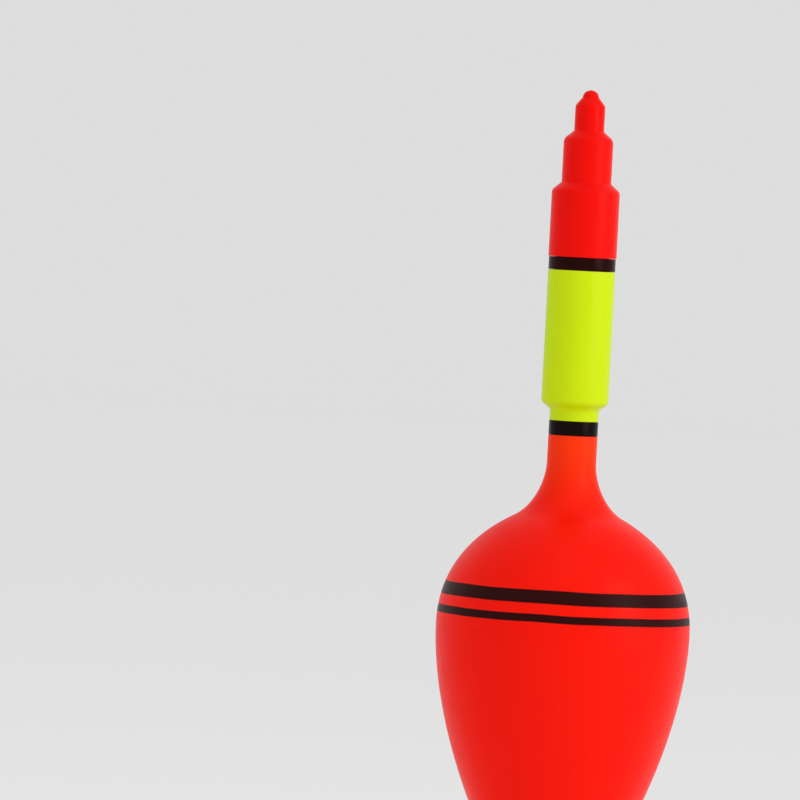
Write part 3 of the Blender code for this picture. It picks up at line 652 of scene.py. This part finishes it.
def makeTip():
    t = tipShape
    bottom = topOf("top_ring") + t["seatGap"]
    middle = bottom + t["baseLength"]
    end = middle + t["middleLength"]
    top = topOf("tip_cap")
    baseRadius = radiusOf("tip_cap")
    nubFoot = top - t["nubHeight"]
    baseRound, middleRound, endRound = t["edgeRounds"]
    rootRound = t["rootRound"]
    spigotBottom = bottom - t["spigotLength"]
    seal = bottom - t["sealDepth"]
    boreTop = end - t["endWall"]
    nub = []
    for step in range(t["nubSteps"]):
        turn = fullTurn / 4 * step / t["nubSteps"]
        nub.append((t["nubRadius"] * math.sin(turn), top - t["nubHeight"] * (1 - math.cos(turn)), 0))
    grooveTop, grooveBottom = seal + t["grooveHalf"], seal - t["grooveHalf"]
    cap = roundedOutline(nub + [
                          (t["nubRadius"], nubFoot, 0.2),
                          (t["endRadius"], nubFoot - t["endShoulder"], endRound),
                          (t["endRadius"], end, rootRound),
                          (t["middleRadius"], end - t["middleShoulder"], middleRound),
                          (t["middleRadius"], middle, rootRound),
                          (baseRadius, middle - t["baseShoulder"], baseRound), (baseRadius, bottom, t["rim"]),
                          (t["spigotRadius"], bottom, 0), (t["spigotRadius"], grooveTop, 0.05),
                          (t["grooveRadius"], grooveTop, 0), (t["grooveRadius"], grooveBottom, 0),
                          (t["spigotRadius"], grooveBottom, 0.05), (t["spigotRadius"], spigotBottom, 0.3),
                          (t["bore"], spigotBottom, 0.15), (t["bore"], boreTop, 0.4), (0, boreTop, 0)], 6)
    standFor(turnPiece("tipCap", cap, finishes["capRed"]), "tip_cap", "tip")

    section = []
    for step in range(t["sealSteps"]):
        angle = fullTurn * step / t["sealSteps"]
        section.append(Vector((t["sealCentre"] - math.cos(angle) * t["sealSection"],
                               seal + math.sin(angle) * t["sealSection"])))
    standFor(turnPiece("capORing", section, finishes["sealBlack"], 96, 60), "cap_o_ring", "tip")


makeTip()
print("tip cap made")


# light stick

stick = {
    "wall": 0.5,
    "plugLength": 3.0,
    "plugRadius": 1.69,
    "ampouleRound": 1.05,
    "endRound": 2.0,
    "floor": 0.9,                 # thickness of the tube's closed end
    "innerRound": 1.3,
}

sleeveShape = {
    "play": 0.06,
    "ribs": 5,
    "ribDepth": 0.12,
    "crest": (0.3, 0.7),          # where each rib's crest starts and ends, as shares of its length
    "root": 0.98,
    "crestRound": 0.15,
    "rootRound": 0.05,
}


def makeStick():
    top, bottom, radius = topOf("stick_tube"), bottomOf("stick_tube"), radiusOf("stick_tube")
    inner = radius - stick["wall"]
    floor = bottom + stick["floor"]
    tube = roundedOutline([(0, floor, 0), (inner, floor, stick["innerRound"]), (inner, top, 0.1),
                           (radius, top, 0.15), (radius, bottom, stick["endRound"]), (0, bottom, 0)], 8)
    standFor(turnPiece("stickTube", tube, finishes["stickShell"], 64), "stick_tube", "tip")

    plugBottom = top - stick["plugLength"]
    plug = roundedOutline([(0, top, 0), (stick["plugRadius"], top, 0.12),
                           (stick["plugRadius"], plugBottom, 0.5), (0, plugBottom, 0)], 5)
    standFor(turnPiece("stickPlug", plug, finishes["stickPlug"], 64), "stick_plug", "tip")

    top, bottom, radius = topOf("stick_ampoule"), bottomOf("stick_ampoule"), radiusOf("stick_ampoule")
    glass = roundedOutline([(0, top, 0), (radius, top, stick["ampouleRound"]),
                            (radius, bottom, stick["ampouleRound"]), (0, bottom, 0)], 8)
    standFor(turnPiece("stickAmpoule", glass, finishes["ampoule"], 48), "stick_ampoule", "tip")

    top, bottom, radius = topOf("stick_sleeve"), bottomOf("stick_sleeve"), radiusOf("stick_sleeve")
    shape = sleeveShape
    inner = radiusOf("stick_tube") + shape["play"]
    valley = radius - shape["ribDepth"]
    crestStart, crestEnd = shape["crest"]
    pitch = (top - bottom) / shape["ribs"]
    sleeve = [(inner, top, 0)]
    for rib in range(shape["ribs"]):
        ribTop = top - pitch * rib
        sleeve += [(valley, ribTop, shape["rootRound"]),
                   (radius, ribTop - pitch * crestStart, shape["crestRound"]),
                   (radius, ribTop - pitch * crestEnd, shape["crestRound"]),
                   (valley, ribTop - pitch * shape["root"], shape["rootRound"])]
    sleeve += [(inner, bottom, 0)]
    standFor(turnPiece("stickSleeve", roundedOutline(sleeve, 3), finishes["silicone"], 64), "stick_sleeve",
             "tip")


makeStick()
print("light stick made")


# eyes and swivel

eyes = {
    "footWire": 0.45,
    "footRadius": 2.05,
    "swivelWire": 0.4,
    "swivelRadius": 1.7,
    "neckBend": 0.7,              # small bend that leads the shank into the ring
    "endTuck": 0.15,              # the ring's end tucks in under the neck bend
    "endRound": 0.08,
    "shankRadius": 0.5,
    "headRadius": 1.0,
    "headLength": 1.6,
    "play": 0.12,
    "shankOverlap": 0.2,          # the head's shank starts this far outside the barrel
    "shankDip": 1.2,              # the wire runs this far into the barrel
    "ringClear": 0.3,             # between the ring and the barrel's end
}


def bendEye(name, wire, ringRadius, centre, shankEnd, upwards, sideways, material):
    # straight shank, a small neck bend, then almost a full ring
    neckBend = eyes["neckBend"]
    reach = math.sqrt(ringRadius ** 2 + 2 * neckBend * ringRadius)
    neckTurn = math.degrees(math.acos(neckBend / (neckBend + ringRadius)))
    joined = math.asin(neckBend / (neckBend + ringRadius))
    free = math.asin((2 * wire - eyes["endTuck"]) / ringRadius)
    ringTurn = 360 - math.degrees(joined + free)
    heading = Vector((0, 0, 1 if upwards else -1))
    axis = heading.cross(Vector(sideways))
    bendStart = centre - heading.z * reach
    piece = bendWire(name, wire, (0, 0, shankEnd), heading,
                     [("run", abs(bendStart - shankEnd)), ("bend", neckBend, neckTurn, axis),
                      ("bend", ringRadius, ringTurn, -axis)], material)
    softenEdges(piece, eyes["endRound"])
    return piece


def addHead(piece, name, barrelEnd, inwards, material):
    # shank through the barrel's end wall and the riveted head that holds it there
    wall = barrel["wall"]
    near = barrelEnd - inwards * eyes["shankOverlap"]
    under = barrelEnd + inwards * (wall + eyes["play"])
    end = under + inwards * eyes["headLength"]
    shank, rivet = eyes["shankRadius"], eyes["headRadius"]
    outline = roundedOutline([(0, near, 0), (shank, near, 0.12), (shank, under, 0), (rivet, under, 0.1),
                              (rivet, end, 0.35), (0, end, 0)], 4)
    head = turnPiece(name + "Head", outline, material, 48)
    return unite(piece, head)


barrel = {
    "hole": 0.65,
    "wall": 0.42,
    "endRound": 0.9,
    "grooves": (1.25, -1.25),     # two rolled lines round the middle
    "grooveDepth": 0.07,
    "grooveHalf": 0.16,
    "cavityHead": 1.15,
}


def makeEyes():
    steel = finishes["drawnSteel"]
    centre = pivots["foot_swing"].z + eyes["footRadius"]
    shankTop = bottomOf("foot_ferrule") + core["shankLength"]
    footEye = bendEye("footEye", eyes["footWire"], eyes["footRadius"], centre, shankTop, False, (1, 0, 0),
                      steel)
    standFor(footEye, "foot_eye", "float_body")

    top, bottom, radius = topOf("swivel_barrel"), bottomOf("swivel_barrel"), radiusOf("swivel_barrel")
    wire, ringRadius = eyes["swivelWire"], eyes["swivelRadius"]
    upperCentre = top + eyes["ringClear"] + wire + ringRadius
    dip = eyes["shankDip"]
    upperEye = bendEye("swivelUpperEye", wire, ringRadius, upperCentre, top - dip, True, (0, 1, 0), steel)
    addHead(upperEye, "upperEye", top, -1, steel)
    standFor(upperEye, "swivel_upper_eye", "upper_eye")
    lowerCentre = pivots["snap_swing"].z + ringRadius
    lowerEye = bendEye("swivelLowerEye", wire, ringRadius, lowerCentre, bottom + dip, False, (1, 0, 0), steel)
    addHead(lowerEye, "lowerEye", bottom, 1, steel)
    standFor(lowerEye, "swivel_lower_eye", "lower_eye")

    hole, wall, head = barrel["hole"], barrel["wall"], barrel["cavityHead"]
    inner = radius - wall
    middle = (top + bottom) / 2
    profile = [(hole, top, 0), (radius, top, barrel["endRound"])]
    depth, half = barrel["grooveDepth"], barrel["grooveHalf"]
    for level in barrel["grooves"]:
        profile += [(radius, middle + level + half, 0.08), (radius - depth, middle + level, 0.1),
                    (radius, middle + level - half, 0.08)]
    profile += [(radius, bottom, barrel["endRound"]), (hole, bottom, 0.06), (hole, bottom + wall, 0),
                (head, bottom + wall, 0), (inner, bottom + wall + inner - head, 0),
                (inner, top - wall - inner + head, 0), (head, top - wall, 0), (hole, top - wall, 0)]
    standFor(turnPiece("swivelBarrel", roundedOutline(profile, 6), finishes["blackNickel"], 96),
             "swivel_barrel", "barrel")


makeEyes()
print("eyes and swivel made")


# snap

snap = {
    "headRadius": 1.368,
    "headHole": 0.748,
    "halfWidth": 2.3,
    "neckDrop": 2.325,
    "shoulderBend": 0.55,
    "cornerBend": 0.7,
    "slot": 1.0,
    "slotRise": 0.97,
    "pinRadius": 0.32,
    "pinHeadRadius": 0.62,
    "pinHeadLength": 0.3,
    "play": 0.12,
    "edgeRound": 0.09,
    "wire": 0.35,
    "rootRadius": 0.85,           # flattened eye at the wire's pinned end
    "rootHalf": 0.38,
    "wireHalfWidth": 2.95,
    "wireLength": 10.5,
    "bottomBend": 0.96,           # bend at the loop's bottom, as a share of the half width
    "pinGap": 0.06,               # between the clasp's faces and the pin's heads
    "cutThrough": 4,              # drill length, more than the clasp is thick
}

# the snap wire's bends: how far each lies under the pin, and its radius, mm
wireBends = {
    "root": (2.25, 1.2),
    "rootSide": (4.5, 1.5),
    "freeSide": (3.3, 1.5),
    "hook": (1.65, 0.8),
    "freeEndRise": 0.2,           # the free end reaches this far above the pin
    "freeEndShift": 0.1,
}


def drill(piece, radius, place, depth, sides=48):
    # round hole through along X
    bpy.ops.object.select_all(action="DESELECT")
    bpy.ops.mesh.primitive_cylinder_add(vertices=sides, radius=radius * mm, depth=depth * mm,
                                        location=Vector(place) * mm, rotation=(0, fullTurn / 4, 0))
    return unite(piece, bpy.context.active_object, "DIFFERENCE")


def bevelCorners(piece, offset, test):
    # rounds the outline's corners whose places pass the test
    bpy.ops.object.mode_set(mode="OBJECT")
    corners = [vert.index for vert in piece.data.vertices if test(vert.co)]
    bpy.ops.object.mode_set(mode="EDIT")
    selectVerts(piece, corners)
    bpy.ops.mesh.bevel(offset=offset * mm, segments=8, affect="VERTICES")


def makeClasp():
    pin = pivots["snap_open"]
    swing = pivots["snap_swing"]
    thickness = radiusOf("snap_clasp") * 2
    bottom = bottomOf("snap_clasp")
    head, half = snap["headRadius"], snap["halfWidth"]
    bpy.ops.object.select_all(action="DESELECT")
    bpy.ops.mesh.primitive_plane_add(size=2 * head * mm, location=(0, 0, swing.z * mm),
                                     rotation=(0, fullTurn / 4, 0))
    plate = bpy.context.active_object
    bpy.ops.object.transform_apply(location=True, rotation=True, scale=False)
    bpy.ops.object.mode_set(mode="EDIT")
    selectVerts(plate, [vert.index for vert in plate.data.vertices if vert.co.z < swing.z * mm])
    neck = swing.z - snap["neckDrop"]
    bpy.ops.mesh.extrude_region_move(TRANSFORM_OT_translate={"value": (0, 0, (neck - swing.z + head) * mm)})
    bpy.ops.transform.resize(value=(1, half / head, 1), center_override=(0, 0, neck * mm))
    bpy.ops.mesh.extrude_region_move(TRANSFORM_OT_translate={"value": (0, 0, (bottom - neck) * mm)})
    bpy.ops.mesh.select_all(action="SELECT")
    bpy.ops.mesh.dissolve_limited(angle_limit=math.radians(1))
    bevelCorners(plate, head * 0.99, lambda place: place.z > swing.z * mm)
    bevelCorners(plate, snap["cornerBend"], lambda place: place.z < (bottom + 0.1) * mm)
    bevelCorners(plate, snap["shoulderBend"],
                 lambda place: (neck - 0.1) * mm < place.z < (swing.z - head + 0.1) * mm)
    bpy.ops.mesh.select_all(action="SELECT")
    bpy.ops.mesh.extrude_region_move(TRANSFORM_OT_translate={"value": (thickness * mm, 0, 0)})
    bpy.ops.mesh.select_all(action="SELECT")
    bpy.ops.transform.translate(value=(-thickness / 2 * mm, 0, 0))
    settle(plate, "snapClasp", finishes["pressedSteel"])
    drill(plate, snap["headHole"], swing, snap["cutThrough"])
    drill(plate, snap["pinRadius"] + snap["play"], pin, snap["cutThrough"])
    slotTop = pin.z + snap["slotRise"]
    slotHeight = slotTop - bottom + 1
    bpy.ops.object.select_all(action="DESELECT")
    bpy.ops.mesh.primitive_cube_add(size=1, location=Vector((0, 0, slotTop - slotHeight / 2)) * mm,
                                    scale=Vector((snap["slot"], 6 * half, slotHeight)) * mm)
    unite(plate, bpy.context.active_object, "DIFFERENCE")
    bpy.ops.object.shade_smooth_by_angle(angle=math.radians(creaseAngle))
    softenEdges(plate, snap["edgeRound"])
    standFor(plate, "snap_clasp", "clasp")


def makePin():
    pin = pivots["snap_open"]
    reach = radiusOf("snap_clasp") + snap["pinGap"]
    radius, headRadius, length = snap["pinRadius"], snap["pinHeadRadius"], snap["pinHeadLength"]
    end = reach + length
    outline = roundedOutline([(0, end, 0), (headRadius, end, 0.24), (headRadius, reach, 0.04),
                              (radius, reach, 0), (radius, -reach, 0), (headRadius, -reach, 0.04),
                              (headRadius, -end, 0.24), (0, -end, 0)], 6)
    piece = turnPiece("snapPin", outline, finishes["springSteel"], 48)
    piece.rotation_euler = (0, fullTurn / 4, 0)
    piece.location = pin * mm
    bpy.ops.object.transform_apply(location=True, rotation=True, scale=True)
    standFor(piece, "snap_pin", "clasp")


def movesRound(corners):
    # (across, up, bend radius) corners in the YZ plane become runs and bends about X
    moves = []
    spare = 0
    for index in range(1, len(corners)):
        here = Vector(corners[index][:2])
        before = here - Vector(corners[index - 1][:2])
        if index == len(corners) - 1:
            moves.append(("run", before.length - spare))
            break
        after = Vector(corners[index + 1][:2]) - here
        turn = -before.angle_signed(after)
        reach = abs(corners[index][2] * math.tan(turn / 2))
        moves.append(("run", before.length - spare - reach))
        moves.append(("bend", corners[index][2], abs(math.degrees(turn)), (math.copysign(1, turn), 0, 0)))
        spare = reach
    return moves


def makeSnapWire():
    pin = pivots["snap_open"]
    offset = -pin.y
    left = offset - snap["wireHalfWidth"]
    right = offset + snap["wireHalfWidth"]
    bottomBend = snap["wireHalfWidth"] * snap["bottomBend"]
    freeEnd = offset * 2 + wireBends["freeEndShift"]
    (rootDrop, rootBend), (rootSideDrop, rootSideBend) = wireBends["root"], wireBends["rootSide"]
    (freeSideDrop, freeSideBend), (hookDrop, hookBend) = wireBends["freeSide"], wireBends["hook"]
    corners = [(0, 0, 0), (0, -rootDrop, rootBend), (left, -rootSideDrop, rootSideBend),
               (left, -snap["wireLength"], bottomBend), (right, -snap["wireLength"], bottomBend),
               (right, -freeSideDrop, freeSideBend), (freeEnd, -hookDrop, hookBend),
               (freeEnd, wireBends["freeEndRise"], 0)]
    moves = movesRound(corners)
    piece = bendWire("snapWire", snap["wire"], pin, (0, 0, -1), moves, finishes["springSteel"], 20)
    half = snap["rootHalf"]
    root = turnPiece("wireRoot", roundedOutline([(0, half, 0), (snap["rootRadius"], half, 0.12),
                                                 (snap["rootRadius"], -half, 0.12), (0, -half, 0)], 4),
                     finishes["springSteel"], 48)
    root.rotation_euler = (0, fullTurn / 4, 0)
    root.location = pin * mm
    bpy.ops.object.transform_apply(location=True, rotation=True, scale=True)
    unite(piece, root)
    drill(piece, snap["pinRadius"] + snap["play"], pin, 2)
    bpy.ops.object.shade_smooth_by_angle(angle=math.radians(creaseAngle))
    standFor(piece, "snap_wire", "gate")


makeClasp()
makePin()
makeSnapWire()
print("snap made")


# foam core stays the CAD solid inside the shells
foam = frame["nodes"]["foam_core"]
foam.data.materials.clear()
foam.data.materials.append(finishes["foam"])


# floor, light and camera

studio = {
    "floorDrop": 4.0,             # floor under the hanging snap, mm
    "floorSize": 9.0,             # m
    "floorColour": "#ffffff",
    "worldColour": "#fafafa",
    "worldStrength": 0.76,
    "aimHeight": 0.02,            # m; the lamps look at this point of the axis
}

lamps = {
    # azimuth from the camera, elevation, distance m, width m, height m, watts, colour
    "keyBox": (60, 22, 0.85, 0.45, 0.80, 2.7, "#fffaf4"),
    "topBox": (10, 62, 1.2, 0.90, 0.60, 1.2, "#ffffff"),
}

lens = {
    "distance": 1200.0,           # mm
    "elevation": 1.5,
    "roll": 3.01,                 # the float leans this much to the right
    "focal": 342.9,
    "across": -25.62,             # middle of the view from the waterline's centre, mm
    "up": 36.02,
}


def makeFloor():
    level = (min(bottomOf(node) for node in boxes) - studio["floorDrop"]) * mm
    bpy.ops.object.select_all(action="DESELECT")
    bpy.ops.mesh.primitive_plane_add(size=studio["floorSize"], location=(0, 0, level))
    floor = bpy.context.active_object
    floor.name = "studioFloor"
    # matt emulsion paint: pale and plain, with no clear reflection
    material, tree, principled = newMaterial("mattPaintedFloor", SpecularIORLevel=0.1)
    principled.inputs["Base Color"].default_value = hexToLinear(studio["floorColour"])
    addGrain(tree, principled, (0.75, 0.9), (3.0,), (0.02,))
    floor.data.materials.append(material)


def makeLights():
    world = bpy.data.worlds.new("paleStudio")
    bpy.context.scene.world = world
    world.use_nodes = True
    sky = world.node_tree.nodes["Background"]
    sky.inputs["Color"].default_value = hexToLinear(studio["worldColour"])
    sky.inputs["Strength"].default_value = studio["worldStrength"]
    aim = Vector((0, 0, studio["aimHeight"]))
    for name, (azimuth, elevation, distance, width, height, watts, colour) in lamps.items():
        light = bpy.data.lights.new(name, "AREA")
        light.shape = "RECTANGLE"
        light.size, light.size_y = width, height
        light.energy = watts
        light.color = hexToLinear(colour)[:3]
        lamp = bpy.data.objects.new(name, light)
        bpy.context.scene.collection.objects.link(lamp)
        turn, rise = math.radians(azimuth), math.radians(elevation)
        away = Vector((math.sin(turn) * math.cos(rise), -math.cos(turn) * math.cos(rise), math.sin(rise)))
        lamp.location = aim + away * distance
        lamp.rotation_euler = away.to_track_quat("Z", "Y").to_euler()


def makeCamera():
    rise, roll = math.radians(lens["elevation"]), math.radians(lens["roll"])
    level, above = Vector((1, 0, 0)), Vector((0, math.sin(rise), math.cos(rise)))
    back = level.cross(above)
    right = level * math.cos(roll) + above * math.sin(roll)
    up = above * math.cos(roll) - level * math.sin(roll)
    middle = (right * lens["across"] + up * lens["up"]) * mm
    camera = bpy.data.objects.new("camera", bpy.data.cameras.new("camera"))
    bpy.context.scene.collection.objects.link(camera)
    camera.data.lens = lens["focal"]
    camera.data.clip_start = 0.05
    camera.matrix_world = Matrix((right, up, back)).transposed().to_4x4()
    camera.location = middle + back * lens["distance"] * mm
    bpy.context.scene.camera = camera


makeFloor()
makeLights()
makeCamera()
bpy.context.scene.view_settings.view_transform = "Standard"
print("floor, lights and camera made")
